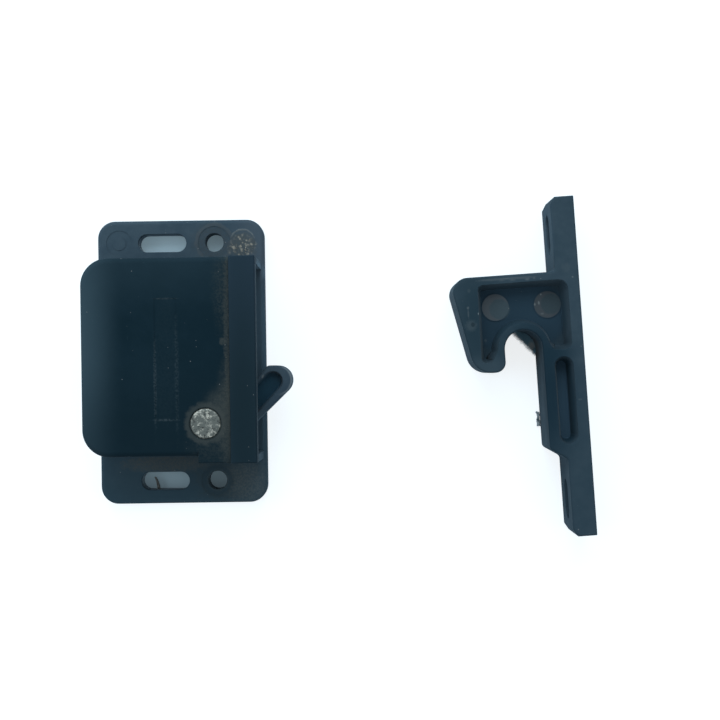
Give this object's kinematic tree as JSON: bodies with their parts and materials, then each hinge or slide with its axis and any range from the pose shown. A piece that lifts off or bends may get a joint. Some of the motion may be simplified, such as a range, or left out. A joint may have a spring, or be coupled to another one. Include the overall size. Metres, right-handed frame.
{
  "type": "cabinet catch",
  "caption": "Push-to-close cabinet catch: a cased mounting plate whose sprung pivoting finger grips a separate hooked strike.",
  "frame": {"origin": "midway between the catch's two round screw holes, on the back of its mounting plate", "axes": "+X out of the catch's mouth towards the strike, +Y along the mounting plate from hole to hole, +Z out of the plate, away from what it is screwed to"},
  "size_m": [0.0789, 0.053, 0.0157],
  "materials": {
    "case_plastic": "black moulded plastic, scuffed and dusty",
    "cover_plastic": "black moulded plastic, satin, with brown grime round the pin",
    "finger_plastic": "black moulded plastic, rubbed at the edges",
    "strike_plastic": "black moulded plastic with ejector marks",
    "inner_plastic": "dark moulded plastic",
    "worn_steel": "steel worn bright and spotted with corrosion",
    "pin_steel": "plain ground steel",
    "spring_steel": "drawn spring wire"
  },
  "bodies": {
    "frame": {"base_frame": "case_plastic", "case_cover": "cover_plastic", "pivot_pin": "worn_steel", "swivel_pin": "pin_steel"},
    "finger": {"latch_finger": "finger_plastic", "toggle_pin": "pin_steel"},
    "swivel": {"spring_swivel": "inner_plastic", "toggle_spring": "spring_steel"},
    "rod": {"spring_rod": "inner_plastic"},
    "strike": {"strike": "strike_plastic"}
  },
  "joints": [
    {"name": "finger_turn", "type": "hinge", "parent": "frame", "child": "finger", "pos_m": [-0.00046, -0.00951, 0.0081], "axis": [0, 0, 1], "range_deg": [0, 40]},
    {"name": "swivel_turn", "type": "hinge", "parent": "frame", "child": "swivel", "pos_m": [-0.0152, 0.0106, 0.0081], "axis": [0, 0, 1], "range_deg": [-11.46, 0]},
    {"name": "rod_slide", "type": "slide", "parent": "swivel", "child": "rod", "axis": [0.6408, -0.7677, 0], "range_m": [0, 0.000702], "deforming": ["toggle_spring"]},
    {"name": "strike_approach", "type": "slide", "parent": "frame", "child": "strike", "axis": [-1, 0, 0], "range_m": [0, 0.025]}
  ],
  "couplings": [
    {"joint": "swivel_turn", "follows": "finger_turn", "ratio": -0.28534},
    {"joint": "rod_slide", "follows": "finger_turn", "m_per_rad": 0.00099127}
  ]
}
